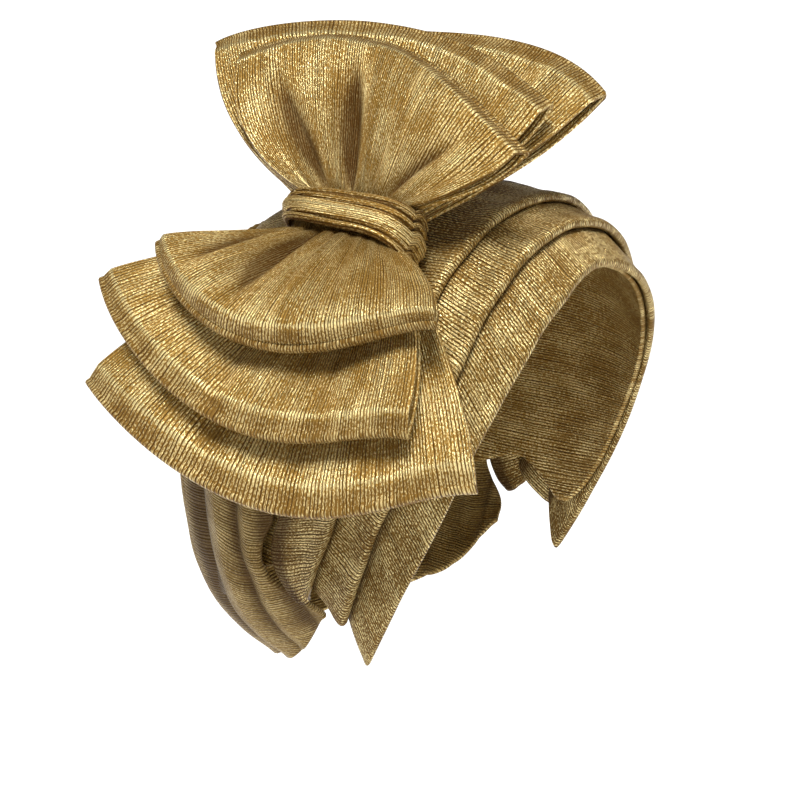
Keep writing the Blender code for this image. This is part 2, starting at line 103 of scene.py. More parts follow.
def on_head(toward, height):
    """Point at a height above the head's superellipsoid, along a direction from the head's centre.

    The height is added to each half axis, and the point's coordinates over those half axes, each to the
    power of the squareness, add up to one.
    """
    toward = unit(toward)
    height = np.asarray(height, float)[..., None]
    vertical = np.where(toward[..., 2:] > 0, HEAD_ABOVE, HEAD_BELOW)
    width = HEAD_HALF_WIDTH + 0.0 * vertical
    length = HEAD_HALF_LENGTH + 0.0 * vertical
    axes = np.concatenate([width, length, vertical], -1) + height
    total = np.sum(np.abs(toward / axes) ** HEAD_SQUARENESS, -1, keepdims=True)
    return HEAD_CENTRE + toward * total ** (-1.0 / HEAD_SQUARENESS)


def soft_table(where, rows, column, width):
    """A table's column at the given places: straight between rows, then averaged over a width."""
    rows = np.array(rows, float)
    shifts = np.linspace(-width, width, 9)
    return np.mean([np.interp(where + shift, rows[:, 0], rows[:, column]) for shift in shifts], 0)


def step_up(value, low, high):
    """From 0 below low to 1 above high, with a smooth S between them: 3t squared less 2t cubed."""
    t = np.clip((value - low) / (high - low), 0.0, 1.0)
    return t * t * (3.0 - 2.0 * t)


def edged(length, radius, count):
    """Distances from 0 to length, closer together where a rim of that radius turns at both ends."""
    turn = radius * (1.0 - np.cos(np.linspace(0.0, np.pi / 2, 6)))[:-1]
    return np.concatenate([turn, np.linspace(radius, length - radius, count), length - turn[::-1]])


def rim_fall(distance, radius):
    """How much of its thickness the cloth has at a distance from its rim: a quarter circle."""
    t = np.clip(distance / radius, 0.0, 1.0)
    return np.sqrt(1.0 - (1.0 - t) ** 2)


def weave_at(ribs, along):
    """Places on the cloth as one grid of pairs: ribs across, and millimetres along the ribs."""
    return np.stack(np.broadcast_arrays(ribs, along), -1)


def sew(name, outside, inside, rim, weave, painted_shading, material, node):
    """One closed cloth body from two grids of points in millimetres that meet at its rim.

    Each face is the middle of the two grids moved by rim times half their distance. weave gives each
    grid point's place on the cloth. The next grid paints light and shade: 1 is painted shade deep in a
    fold, 0 is open cloth, and down to -1 is a painted highlight on a crisp crease. Points that lie on
    one another, at the rim and where a grid closes on itself, become one.
    """
    middle = (outside + inside) / 2.0
    half = (outside - inside) / 2.0 * rim[..., None]
    rows, columns = rim.shape
    points = np.concatenate([(middle + half).reshape(-1, 3), (middle - half).reshape(-1, 3)]) * 0.001
    number = np.arange(rows * columns).reshape(rows, columns)
    corners = [number[:-1, :-1], number[1:, :-1], number[1:, 1:], number[:-1, 1:]]
    front = np.stack(corners, -1).reshape(-1, 4)
    faces = np.concatenate([front, front[:, ::-1] + rows * columns])
    places = np.concatenate([weave.reshape(-1, 2), weave.reshape(-1, 2)])[faces.ravel()]
    mesh = bpy.data.meshes.new(name)
    mesh.vertices.add(len(points))
    mesh.vertices.foreach_set("co", points.ravel())
    mesh.loops.add(faces.size)
    mesh.loops.foreach_set("vertex_index", faces.ravel().astype(np.int32))
    mesh.polygons.add(len(faces))
    mesh.polygons.foreach_set("loop_start", np.arange(0, faces.size, 4, dtype=np.int32))
    mesh.uv_layers.new(name="weave").data.foreach_set("uv", places.ravel())
    # Painted light and shade for the material, on every point: painted shade above 0, painted highlight
    # below 0.
    point_shading = np.tile(np.clip(painted_shading, -1.0, 1.0).ravel(), 2)
    mesh.attributes.new("painted_shading", "FLOAT", "POINT").data.foreach_set("value", point_shading)
    mesh.update(calc_edges=True)
    shape = bmesh.new()
    shape.from_mesh(mesh)
    bmesh.ops.remove_doubles(shape, verts=shape.verts, dist=2e-6)
    bmesh.ops.recalc_face_normals(shape, faces=shape.faces)
    shape.to_mesh(mesh)
    shape.free()
    mesh.shade_smooth()
    mesh.materials.append(material)
    piece = bpy.data.objects.new(name, mesh)
    bpy.context.scene.collection.objects.link(piece)
    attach(piece, "root")
    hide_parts(node)
    return piece


class Value:
    """One output in a material. Arithmetic on it adds Math nodes, also as in 1 - mask."""

    def __init__(self, cloth, output):
        self.cloth = cloth
        self.output = output

    def math(self, operation, *values):
        inputs = dict(enumerate(values))
        return self.cloth.node("ShaderNodeMath", {"operation": operation}, inputs)

    def __add__(self, other):
        return self.math("ADD", self, other)

    def __radd__(self, other):
        return self.math("ADD", other, self)

    def __sub__(self, other):
        return self.math("SUBTRACT", self, other)

    def __rsub__(self, other):
        return self.math("SUBTRACT", other, self)

    def __mul__(self, other):
        return self.math("MULTIPLY", self, other)

    def __rmul__(self, other):
        return self.math("MULTIPLY", other, self)

    def __pow__(self, power):
        return self.math("POWER", self, power)

    def between(self, low, high):
        """From 0 at low to 1 at high, smoothly."""
        settings = {"interpolation_type": "SMOOTHSTEP"}
        return self.cloth.node("ShaderNodeMapRange", settings, {0: self, 1: low, 2: high})


class Cloth:
    """A material whose nodes all come from one method."""

    def __init__(self, name):
        self.material = bpy.data.materials.new(name)
        self.material.use_nodes = True
        self.tree = self.material.node_tree
        self.shader = self.tree.nodes["Principled BSDF"]

    def join(self, value, socket):
        if isinstance(value, Value):
            self.tree.links.new(value.output, socket)
        else:
            socket.default_value = value

    def node(self, kind, settings, inputs, output=0):
        made = self.tree.nodes.new(kind)
        for key, value in settings.items():
            setattr(made, key, value)
        for key, value in inputs.items():
            self.join(value, made.inputs[key])
        return Value(self, made.outputs[output])

    def colour(self, share, first, second):
        inputs = {0: share, 6: first, 7: second}
        return self.node("ShaderNodeMix", {"data_type": "RGBA"}, inputs, 2)

    def noise(self, place, scale, detail):
        inputs = {"Vector": place, "Scale": scale, "Detail": detail}
        return self.node("ShaderNodeTexNoise", {"noise_dimensions": "2D"}, inputs)


# Colours of the cloth beside its thread's own colour: factors of it on patches that catch more light; the
# painted shade deep in a fold; in the groove between two ribs; and the colour of a fleck of bare metal.
LIGHTER = 1.12
PAINTED_FOLD_SHADE = (0.20, 0.14, 0.09)
IN_GROOVE = (0.24, 0.18, 0.12)
FLECK_GOLD = (1.0, 0.81, 0.38)
# How far ribs wander sideways, in ribs, slowly and more quickly along their length.
RIB_DRIFT = 1.3
RIB_QUICK_DRIFT = 0.35
# Where the groove ends on the rib's triangle wave, and where flecks begin on it.
GROOVE_ENDS = (0.06, 0.62)
FLECKS_BEGIN = (0.2, 0.6)
# Flecks show where their noise, helped by patches and by the painted highlight of a crease, rises through
# these values.
FLECK_VALUES = (0.71, 0.78)
PATCH_HELP = 0.42
CREASE_GLEAM_HELP = 0.20
# How metallic the cloth is and how much more a fleck is, and how rough it is and how much smoother a
# thread and a fleck are.
METAL = 0.50
FLECK_METAL = 0.30
ROUGHNESS = 0.55
THREAD_POLISH = 0.15
FLECK_POLISH = 0.18
# Height of a rib in the cloth's surface, in metres.
RIB_HEIGHT = 0.00045


def gold_cloth(name, thread, shine):
    """Ribbed cloth with gold thread.

    The weave's first coordinate counts ribs and wanders a little, so that ribs drift and change width.
    Each noise has its scale for one rib across and its scale for one millimetre along.
    A rib is a triangle wave: its lower part is a dark groove, and its square root is the round crest.
    Flecks of bare metal lie along the crests where a long fine noise is high. A slow noise gathers them
    into patches, and the painted highlight of a crisp crease, where the mesh's shading value is below 0,
    draws more of them. Where that value is above 0, in a fold, painted shade makes the cloth darker,
    duller and without flecks.
    """
    cloth = Cloth(name)
    place = cloth.node("ShaderNodeUVMap", {"uv_map": "weave"}, {})
    across = cloth.node("ShaderNodeSeparateXYZ", {}, {0: place}, 0)
    along = cloth.node("ShaderNodeSeparateXYZ", {}, {0: place}, 1)

    def spot(across_scale, along_scale):
        inputs = {0: across * across_scale, 1: along * along_scale}
        return cloth.node("ShaderNodeCombineXYZ", {}, inputs)

    drift = cloth.noise(spot(0.21, 0.022), 1.0, 1.0)
    fine_drift = cloth.noise(spot(0.7, 0.09), 1.0, 1.0)
    ribs = across + RIB_DRIFT * drift + RIB_QUICK_DRIFT * fine_drift
    share = ribs.math("FRACT", ribs)
    triangle = 1.0 - share.math("ABSOLUTE", 2.0 * share - 1.0)
    crest = triangle ** 0.5
    rib_change = cloth.noise(spot(0.9, 0.03), 1.0, 1.0)
    depth = rib_change.between(0.25, 0.70)
    groove = (1.0 - triangle.between(*GROOVE_ENDS)) * (0.40 + 0.60 * depth)
    # The mesh's painted shading: above 0 painted shade in a fold, below 0 a painted highlight on a crease.
    point_shading = cloth.node("ShaderNodeAttribute", {"attribute_name": "painted_shading"}, {}, 2)
    painted_shading = point_shading.between(0.0, 1.0)
    painted_gleam = (0.0 - point_shading).between(0.0, 1.0)
    fleck_noise = cloth.noise(spot(3.3, 0.85), 1.0, 2.0)
    patches = cloth.noise(spot(0.10, 0.06), 1.0, 4.0)
    # A crease's painted highlight draws more flecks, and painted shade takes them away.
    bright_spots = (fleck_noise + PATCH_HELP * patches + CREASE_GLEAM_HELP * painted_gleam).between(*FLECK_VALUES)
    fleck = bright_spots * triangle.between(*FLECKS_BEGIN) * (1.0 - 0.85 * painted_shading)
    threads = cloth.noise(spot(5.0, 1.6), 1.0, 1.0)
    lighter = tuple(LIGHTER * c for c in thread)
    fold_shade_colour = tuple(c * k for c, k in zip(thread, PAINTED_FOLD_SHADE))
    in_groove = tuple(c * k for c, k in zip(thread, IN_GROOVE))
    body = cloth.colour(patches.between(0.25, 0.75), (*thread, 1.0), (*lighter, 1.0))
    # Painted shade: deep in a fold the colour goes dark.
    shaded = cloth.colour(0.85 * painted_shading, body, (*fold_shade_colour, 1.0))
    base = cloth.colour(groove, shaded, (*in_groove, 1.0))
    bright = cloth.colour(fleck * shine, base, (*FLECK_GOLD, 1.0))
    cloth.join(bright, cloth.shader.inputs["Base Color"])
    # Painted shade also makes the cloth less metallic in a fold, so it looks duller there.
    metal = shine * (METAL + FLECK_METAL * fleck) * (1.0 - 0.5 * painted_shading)
    cloth.join(metal, cloth.shader.inputs["Metallic"])
    roughness = ROUGHNESS - THREAD_POLISH * threads - FLECK_POLISH * fleck
    cloth.join(roughness, cloth.shader.inputs["Roughness"])
    cloth.join(0.12, cloth.shader.inputs["Specular IOR Level"])
    rise = crest * (0.6 + 0.6 * depth) + 0.35 * threads + (0.9 * shine) * fleck_noise
    bump = cloth.node("ShaderNodeBump", {}, {"Strength": 1.0, "Distance": RIB_HEIGHT, "Height": rise})
    cloth.join(bump, cloth.shader.inputs["Normal"])
    return cloth.material


crown_cloth = gold_cloth("crown_cloth", (0.29, 0.165, 0.037), 0.8)
around = np.linspace(0.0, 360.0, 289)
rim_levels = 1.0 - 0.02 * np.cos(np.linspace(0.25, np.pi / 2, 6))
level = np.concatenate([np.linspace(0.0, 0.98, 64), rim_levels])
edge = soft_table(mirrored(around), CROWN_EDGE, 1, 3.0)
down = level[:, None] * edge[None, :]
toward = heading(around[None, :], down)
bare = on_head(toward, 0.0) - HEAD_CENTRE
side_angle = np.degrees(np.arctan2(bare[..., 0], bare[..., 2]))
rear = np.array(REAR_EDGE)
rear_angle = np.degrees(np.arctan2(rear[:, 0] * HEAD_HALF_WIDTH, HEAD_ABOVE - rear[:, 2] * HEAD_ABOVE))
rear_place = np.interp(np.abs(side_angle), rear_angle, rear[:, 1] * HEAD_HALF_LENGTH)
begins, full = GATHERS_BEHIND_PLEAT
shows = step_up(bare[..., 1], rear_place + begins, rear_place + full) * (1.0 - step_up(down, *GATHERS_END))
waver = 5.0 * np.sin(bare[..., 1] / 19.0) + 3.0 * np.sin(bare[..., 1] / 8.0 + side_angle / 20.0)
gather = np.sin((side_angle + waver) / 3.1) + 0.6 * np.sin((side_angle - waver) / 1.7 + 1.0)
height = CROWN_WALL + shows * (GATHER_HEIGHT + GATHER_DEPTH * gather)
rim = rim_fall((1.0 - level)[:, None] * edge[None, :] * CROWN_EDGE_SCALE, CROWN_WALL / 2.0)
weave = weave_at(side_angle * CROWN_SIDE_SCALE / RIB_PITCH, bare[..., 1])
outside = on_head(toward, height)
inside = on_head(toward, 0.0)
crown = sew("crown", outside, inside, rim, weave, np.zeros(rim.shape), crown_cloth, "cap_crown")

# Pleats: three doubled bands of the same cloth over the head from ear to ear, lapped like shingles.
# Each has a soft rolled front edge and runs on under the band behind it. Both ends hang free, rounded.
# Their edges, from the top of the head down to one ear, with the same columns.
FACE_EDGE = [
    (0.00, -0.79, 0.24),
    (0.20, -0.80, 0.27),
    (0.36, -0.80, 0.34),
    (0.51, -0.79, 0.41),
    (0.63, -0.78, 0.51),
    (0.73, -0.75, 0.62),
    (0.80, -0.71, 0.74),
    (0.87, -0.65, 0.90),
    (0.91, -0.58, 1.09),
    (0.95, -0.51, 1.27),
    (0.97, -0.41, 1.48),
    (0.95, -0.29, 1.72),
    (0.93, -0.22, 1.86),
]
FIRST_CREASE = [
    (0.00, -0.67, 0.10),
    (0.17, -0.68, 0.11),
    (0.34, -0.68, 0.14),
    (0.48, -0.67, 0.19),
    (0.59, -0.67, 0.25),
    (0.69, -0.65, 0.32),
    (0.76, -0.64, 0.39),
    (0.85, -0.62, 0.51),
    (0.96, -0.53, 0.78),
    (1.05, -0.40, 1.09),
    (1.06, -0.35, 1.19),
    (1.06, -0.30, 1.33),
    (1.05, -0.24, 1.48),
    (1.03, -0.17, 1.67),
]
SECOND_CREASE = [
    (0.00, -0.52, 0.01),
    (0.12, -0.52, 0.01),
    (0.28, -0.52, 0.03),
    (0.40, -0.51, 0.06),
    (0.52, -0.51, 0.10),
    (0.62, -0.50, 0.15),
    (0.72, -0.48, 0.22),
    (0.81, -0.47, 0.31),
    (0.97, -0.39, 0.60),
    (1.07, -0.27, 0.89),
    (1.09, -0.18, 1.15),
    (1.09, -0.13, 1.29),
    (1.08, -0.07, 1.41),
    (1.07, -0.01, 1.57),
]
PLEAT_OVERLAP = 5.0
SECTION_WIDTH = 26.0
# Half of the span over which an edge's corners are rounded, as a share of half its length.
EDGE_BLEND = 0.03
# How far a tip's corners are cut back, and how far its rounded end reaches, as shares of half the length.
TIP_RETREAT = 0.022
TIP_TURN = 0.012
# How much the ends' outside comes down at the very tip, how wide their rounded rim is, and how high the
# soft lumps along a band are, in millimetres.
TIP_THINNING = 1.2
TIP_RIM = 1.2
LUMP_HEIGHT = 0.16
# How much painted shade the cloth gets where the next band covers it, and at the ends.
PAINTED_COVERED_SHADE = 0.9
PAINTED_END_SHADE = 0.32
# Columns: distance from the front edge, height of the outside, height of the inside, over the head.
FIRST_SECTION = [(0.0, 4.4, 2.6), (0.9, 5.2, 2.6), (2.6, 5.6, 2.6), (5.5, 4.9, 2.6), (20.0, 4.6, 2.5)]
LAPPED_SECTION = [
    (0.0, 7.6, 5.3),
    (0.8, 8.3, 5.3),
    (2.8, 8.6, 5.2),
    (6.0, 7.7, 5.1),
    (10.0, 6.3, 3.9),
    (14.0, 5.6, 2.9),
    (24.0, 4.9, 2.7),
]


def run_along(points):
    """Distance from the first of a line of points to each of them, along the line."""
    return np.append(0.0, np.cumsum(np.linalg.norm(np.diff(points, axis=0), axis=1)))


def hoop(rows, sides):
    """Vectors from the head's centre to an edge over the head, from -1 at the left ear to 1 at the right.

    The table's points are joined by straight lines, and each place is the mean of eleven along them.
    """
    table = np.array(rows)
    half_axes = np.array([-HEAD_HALF_WIDTH, HEAD_HALF_LENGTH, -HEAD_ABOVE])
    points = table * half_axes + np.array([0.0, 0.0, HEAD_ABOVE])
    points = np.concatenate([points[1:][::-1] * np.array([-1.0, 1.0, 1.0]), points])
    run = run_along(points)
    run = 2.0 * run / run[-1] - 1.0
    total = 0.0
    for shift in np.linspace(-EDGE_BLEND, EDGE_BLEND, 11):
        reach = shift * np.clip((1.0 - np.abs(sides)) / EDGE_BLEND, 0.0, 1.0)
        total = total + np.stack([np.interp(sides + reach, run, points[:, axis]) for axis in range(3)], -1)
    return total / 11.0


def pleat(name, node, front_rows, rear_rows, overlap, section, seed):
    """A doubled band: places run straight from its front edge to its rear edge, and its two faces
    stand over the head by the section's heights, in narrow ends squeezed with the width. Painted shade
    makes it darker where the next band covers it and towards its ends."""
    tip = TIP_TURN * (1.0 - np.cos(np.linspace(0.0, np.pi / 2, 6)))[:-1]
    sides = np.concatenate([-1.0 + tip, np.linspace(TIP_TURN - 1.0, 1.0 - TIP_TURN, 381), 1.0 - tip[::-1]])
    share = edged(1.0, 0.04, 34)
    corner = np.clip(np.minimum(share / 0.30, (1.0 - share) / 0.55), 0.0, 1.0)
    retreat = TIP_RETREAT * (1.0 - rim_fall(corner, 1.0))
    spots = sides[:, None] * (1.0 - retreat[None, :] * step_up(np.abs(sides), 0.7, 1.0)[:, None])
    front = hoop(front_rows, spots)
    rear = hoop(rear_rows, spots)
    width = np.linalg.norm(rear - front, axis=-1)
    full = width + overlap * np.clip(2.0 * width / SECTION_WIDTH, 0.0, 1.0)
    squeeze = np.clip(full / SECTION_WIDTH, 0.25, 1.0)
    distance = share[None, :] * full
    place = front + (rear - front) * (distance / width)[..., None]
    across = distance / squeeze
    near_end = np.clip(1.0 - (1.0 - np.abs(spots)) / 0.04, 0.0, 1.0)
    outside = soft_table(across, section, 1, 0.8) - TIP_THINNING * near_end ** 2
    inside = soft_table(across, section, 2, 0.8)
    lumps = np.sin(spots * 41.0 + seed) + np.sin(spots * 67.0 + 2.0 * seed + across / 6.0)
    outside = outside + LUMP_HEIGHT * lumps * step_up(across, 1.0, 6.0)
    radius = 0.55 * (outside - inside)
    rim = rim_fall(np.minimum(distance, full - distance), radius)
    run = run_along(place[:, len(share) // 2])
    rim = rim * rim_fall(np.minimum(run, run[-1] - run), TIP_RIM)[:, None]
    weave = weave_at(run[:, None] / RIB_PITCH + 37.0 * seed, distance)
    # Painted shade: darker where the next band covers it and towards the ends.
    covered_shade = PAINTED_COVERED_SHADE * step_up(share, 0.62, 0.95)[None, :]
    painted_pleat_shade = covered_shade + PAINTED_END_SHADE * step_up(np.abs(spots), 0.40, 0.80)
    outside = on_head(place, outside)
    inside = on_head(place, inside)
    body = sew(name, outside, inside, rim, weave, painted_pleat_shade, pleat_cloth, node)
    return body


# The pleats' copy of the same gold cloth has a darker thread than the bow's: painted shade.
pleat_cloth = gold_cloth("pleat_cloth", (0.25, 0.141, 0.031), 1.0)
edges = [FACE_EDGE, FIRST_CREASE, SECOND_CREASE, REAR_EDGE]
first = pleat("first_pleat", "front_pleat_1", *edges[0:2], PLEAT_OVERLAP, FIRST_SECTION, 1.0)
second = pleat("second_pleat", "front_pleat_2", *edges[1:3], PLEAT_OVERLAP, LAPPED_SECTION, 2.0)
third = pleat("third_pleat", "front_pleat_3", *edges[2:4], 0.0, LAPPED_SECTION, 3.0)

# Drape: one gathered cloth round the back of the head, of the same ribbed cloth, duller as painted shade.
# It hangs in swags, draws together at the nape, and is stitched to the crown along its upper edge.
DRAPE_WALL = 2.0
DRAPE_GAP = 0.7
# Millimetres of cloth: for one degree down, and for the whole way round, at the two ends and along the
# ribs.
DRAPE_SCALE = 1.9
DRAPE_ROUND = 270.0
DRAPE_RIB_LENGTH = 290.0
# How far the swags stand out between their valleys, how high the small crumples and the gathers along the
# upper edge are, and the depth at which the painted shade in a valley is darkest.
SWAG_FULLNESS = 1.3
CRUMPLE_HEIGHT = 0.28
UPPER_GATHER_HEIGHT = 0.35
DARKEST_VALLEY = 3.6
# Columns: degrees down from the top, degrees round from the front.
DRAPE_FRONT = [
    (48, 87.0), (62, 91.8), (75, 95.3), (92, 98.8), (106, 100.5), (113, 104.5), (119, 105.0),
    (123, 102.5), (127, 98.5), (131, 94.5), (140, 93.0),
]
# Columns: degrees round from the front, top edge and bottom edge in degrees down from the top.
DRAPE_EDGES = [(90, 58, 136), (98, 58, 142), (107, 55, 146), (117, 52, 148), (139, 48, 149), (180, 45, 149)]
# Columns: share of the way down, height of the outside over the head.
DRAPE_PROFILE = [
    (0.00, 4.8), (0.07, 6.2), (0.20, 8.3), (0.55, 9.2), (0.72, 9.4), (0.83, 7.0), (0.92, 0.5), (1.00, -7.0),
]
# Columns: share of the way down, share of the folds' full depth.
DRAPE_FADE = [(0.00, 0.00), (0.15, 0.25), (0.35, 1.00), (0.90, 0.90), (1.00, 0.50)]
# Valleys between the hanging swags. Columns: degrees round at the top and at the bottom, depth.
DRAPE_VALLEYS = [
    (84, 86, 2.4), (98, 100, 5.4), (110, 112, 4.0), (128, 131, 7.2), (139, 139, 2.4), (151, 147, 5.4),
    (162, 158, 1.8), (174, 170, 3.6), (185, 184, 1.4), (197, 197, 3.4), (209, 208, 1.6), (221, 219, 3.6),
    (232, 229, 1.6), (243, 238, 3.4), (254, 249, 1.6), (264, 260, 3.4), (277, 275, 2.0),
]

# The drape's copy of the same gold cloth has less shine and a duller thread than the bow's: painted shade.
drape_cloth = gold_cloth("drape_cloth", (0.29, 0.182, 0.050), 0.4)
shares = edged(1.0, 0.012, 110)
spread = edged(1.0, 0.006, 300)
folded = mirrored(90.0 + 180.0 * spread)
top = soft_table(folded, DRAPE_EDGES, 1, 4.0)
bottom = soft_table(folded, DRAPE_EDGES, 2, 4.0)
down = top[None, :] + (bottom - top)[None, :] * shares[:, None]
start = soft_table(down[:, 0], DRAPE_FRONT, 1, 2.5)[:, None]
finish = 360.0 - soft_table(down[:, -1], DRAPE_FRONT, 1, 2.5)[:, None]
around = start + (finish - start) * spread[None, :]
height = soft_table(shares, DRAPE_PROFILE, 1, 0.035)[:, None] + 0.0 * around
fade = soft_table(shares, DRAPE_FADE, 1, 0.05)[:, None]
wander = 1.6 * np.sin(shares * 7.0 + 0.4)[:, None] + 0.9 * np.sin(shares[:, None] * 15.0 + around / 13.0)
across_folds = around + wander * fade
dents = 0.0 * around
for at_top, at_bottom, depth in DRAPE_VALLEYS:
    place = at_top + (at_bottom - at_top) * shares[:, None]
    reach = np.abs(across_folds - place)
    dents = np.maximum(dents, depth * np.exp(-reach / (2.2 + 0.45 * depth)))
height = height + (SWAG_FULLNESS - dents) * fade
crumple = np.sin(around / 2.3 + 3.0 * np.sin(shares * 9.0)[:, None])
crumple = crumple * np.sin(shares[:, None] * 17.0 + around / 9.0)
height = height + CRUMPLE_HEIGHT * crumple * fade
upper_gathers = np.sin(np.radians(around) * 95.0) + 0.5 * np.sin(np.radians(around) * 151.0 + 1.0)
upper_band = np.exp(-(((shares[:, None] - 0.07) / 0.08) ** 2))
height = height + UPPER_GATHER_HEIGHT * upper_gathers * upper_band
past_crown = down - np.interp(mirrored(around), *np.array(CROWN_EDGE, float).T)
lowest = CROWN_WALL + DRAPE_WALL + DRAPE_GAP
height = np.where(past_crown < 4.0, np.maximum(height, lowest), height)
toward = heading(around, down)
outside = on_head(toward, height)
inside = on_head(toward, height - DRAPE_WALL)
# Painted shade: a little over the whole drape, and more deep in each valley between the swags.
painted_shading = 0.04 + (dents * fade / DARKEST_VALLEY) ** 1.3
drop = shares[:, None] * (bottom - top)[None, :] * DRAPE_SCALE
rim = rim_fall(np.minimum(drop, drop[-1:] - drop), 1.0)
rim = rim * rim_fall(np.minimum(spread, 1.0 - spread) * DRAPE_ROUND, 1.0)[None, :]
weave = weave_at(drop / RIB_PITCH, spread[None, :] * DRAPE_RIB_LENGTH)
drape = sew("drape", outside, inside, rim, weave, painted_shading, drape_cloth, "back_drape")

# Bow: three rings of padded cloth, one behind another. Each ring is folded over at both ends into two
# loops with thick rolled edges, and drawn in at its waist, from where gathers and ribs run out.
# Its seat as shares of the head's half axes, its height over the head there, and its axes: the way it
# faces, and the way across it from its left to its right as it is faced.
BOW_SEAT = np.array([-0.904, -0.163, 0.958])
BOW_HEIGHT = 22.07
BOW_FACING = np.array([-0.75, -0.27, 0.60])
BOW_ACROSS = np.array([0.27, -0.96, -0.09])
# Half its width and its reach up and down, the thickness of its cloth, half the width and height of its
# waist, and how far each layer lies in front of the next.
BOW_HALF_ACROSS = 80.0
BOW_REACH = 105.0
BOW_WALL = 2.0
WAIST_HALF_WIDTH = 19.0
WAIST_HALF_HEIGHT = 7.0
LAYER_STEP = 5.8
# How far a loop's two sides bulge, how much more the upper loops do on their left, how far the corners
# bend back, how far the front layer's loops puff forward, and the share of the valleys that they keep.
SIDE_BULGE = 5.0
LEFT_BULGE = 9.5
BOW_BEND = 7.0
FRONT_PUFF = 9.0
BACKING_DEPTH = 0.3
# Height of the slow waves across a front sheet.
SHEET_WAVES = 0.8
# Ribs from a loop's middle to its side, and the distance to its side at its rim.
BOW_RIBS = 58.0
BOW_SIDE_RUN = 70.0
# Half of the distance between a loop's two sheets: share of the way from waist to edge, half distance.
LOOP_OPENING = [(0.0, 1.45), (0.15, 1.55), (0.35, 2.3), (0.6, 3.2), (0.9, 2.7), (1.0, 2.4)]
# A crease runs along the front of each rim: share of the way out, how much higher than the table the
# sheet stands there, how far it slopes back from there to its edge, and how much farther it reaches.
RIM_CREASE = 0.92
RIM_RISE = 1.6
RIM_DROP = 3.4
RIM_REACH = 1.6
# Half the width of the painted highlight along that crease, as a share of the way out.
RIM_GLEAM = 0.010
# Gathers at the waist. Columns: place from -1 to 1, height in millimetres, half width.
WAIST_GATHERS = [
    (-0.93, -0.5, 0.05), (-0.80, 0.7, 0.06), (-0.66, -0.8, 0.05), (-0.52, 0.6, 0.05), (-0.38, -0.7, 0.04),
    (-0.24, 0.7, 0.06), (-0.10, -0.8, 0.04), (0.04, 0.7, 0.06), (0.19, -0.7, 0.05), (0.33, 0.7, 0.06),
    (0.47, -0.8, 0.05), (0.62, 0.6, 0.05), (0.76, -0.7, 0.05), (0.90, 0.6, 0.06),
]
# How fast a gather or crease runs out, as a power of the share of the way that is left.
RUN_OUT = 2.2
# A crease's slope, as shares of its half width: on its right as the bow is faced, and on its left.
CREASE_SLOPES = (0.5, 1.25)
# A crease this deep, in millimetres, gets the darkest painted shade of a fold.
DARKEST_DEPTH = 5.0
# Deep creases in the loops' front sheets, with puffed folds between them. Columns: place at the waist,
# place at the edge, depth, half width, and share of the way out where the crease is deepest.
BOW_CREASES = {
    ("bow_front", 1): [
        (-0.47, -0.80, 7.0, 0.17, 0.32), (-0.06, -0.15, 8.8, 0.16, 0.34), (0.56, 0.86, 5.6, 0.13, 0.30),
        (0.30, 0.40, 2.4, 0.08, 0.25), (-0.80, -1.02, 2.6, 0.08, 0.25), (-0.26, -0.42, 2.0, 0.05, 0.25),
        (0.84, 1.00, 2.4, 0.06, 0.30),
    ],
    ("bow_front", -1): [
        (-0.40, -0.26, 9.0, 0.17, 0.34), (-0.84, -0.68, 6.0, 0.13, 0.46), (0.30, 0.36, 2.6, 0.12, 0.30),
        (0.66, 0.74, 3.2, 0.09, 0.35), (-0.08, 0.02, 1.8, 0.07, 0.22), (0.88, 0.93, 2.0, 0.05, 0.35),
    ],
    ("bow_middle", 1): [(-0.60, -0.70, 2.4, 0.10, 0.60), (0.62, 0.78, 3.0, 0.12, 0.62)],
    ("bow_middle", -1): [
        (-0.30, -0.12, 3.2, 0.10, 0.70), (-0.72, -0.62, 2.8, 0.10, 0.66), (0.42, 0.50, 2.2, 0.12, 0.70),
    ],
    ("bow_back", 1): [(-0.50, -0.62, 2.2, 0.12, 0.66), (0.42, 0.60, 2.8, 0.12, 0.66)],
    ("bow_back", -1): [
        (-0.40, -0.30, 2.6, 0.10, 0.74), (0.55, 0.62, 2.4, 0.10, 0.70), (0.10, 0.12, 1.8, 0.12, 0.74),
    ],
}
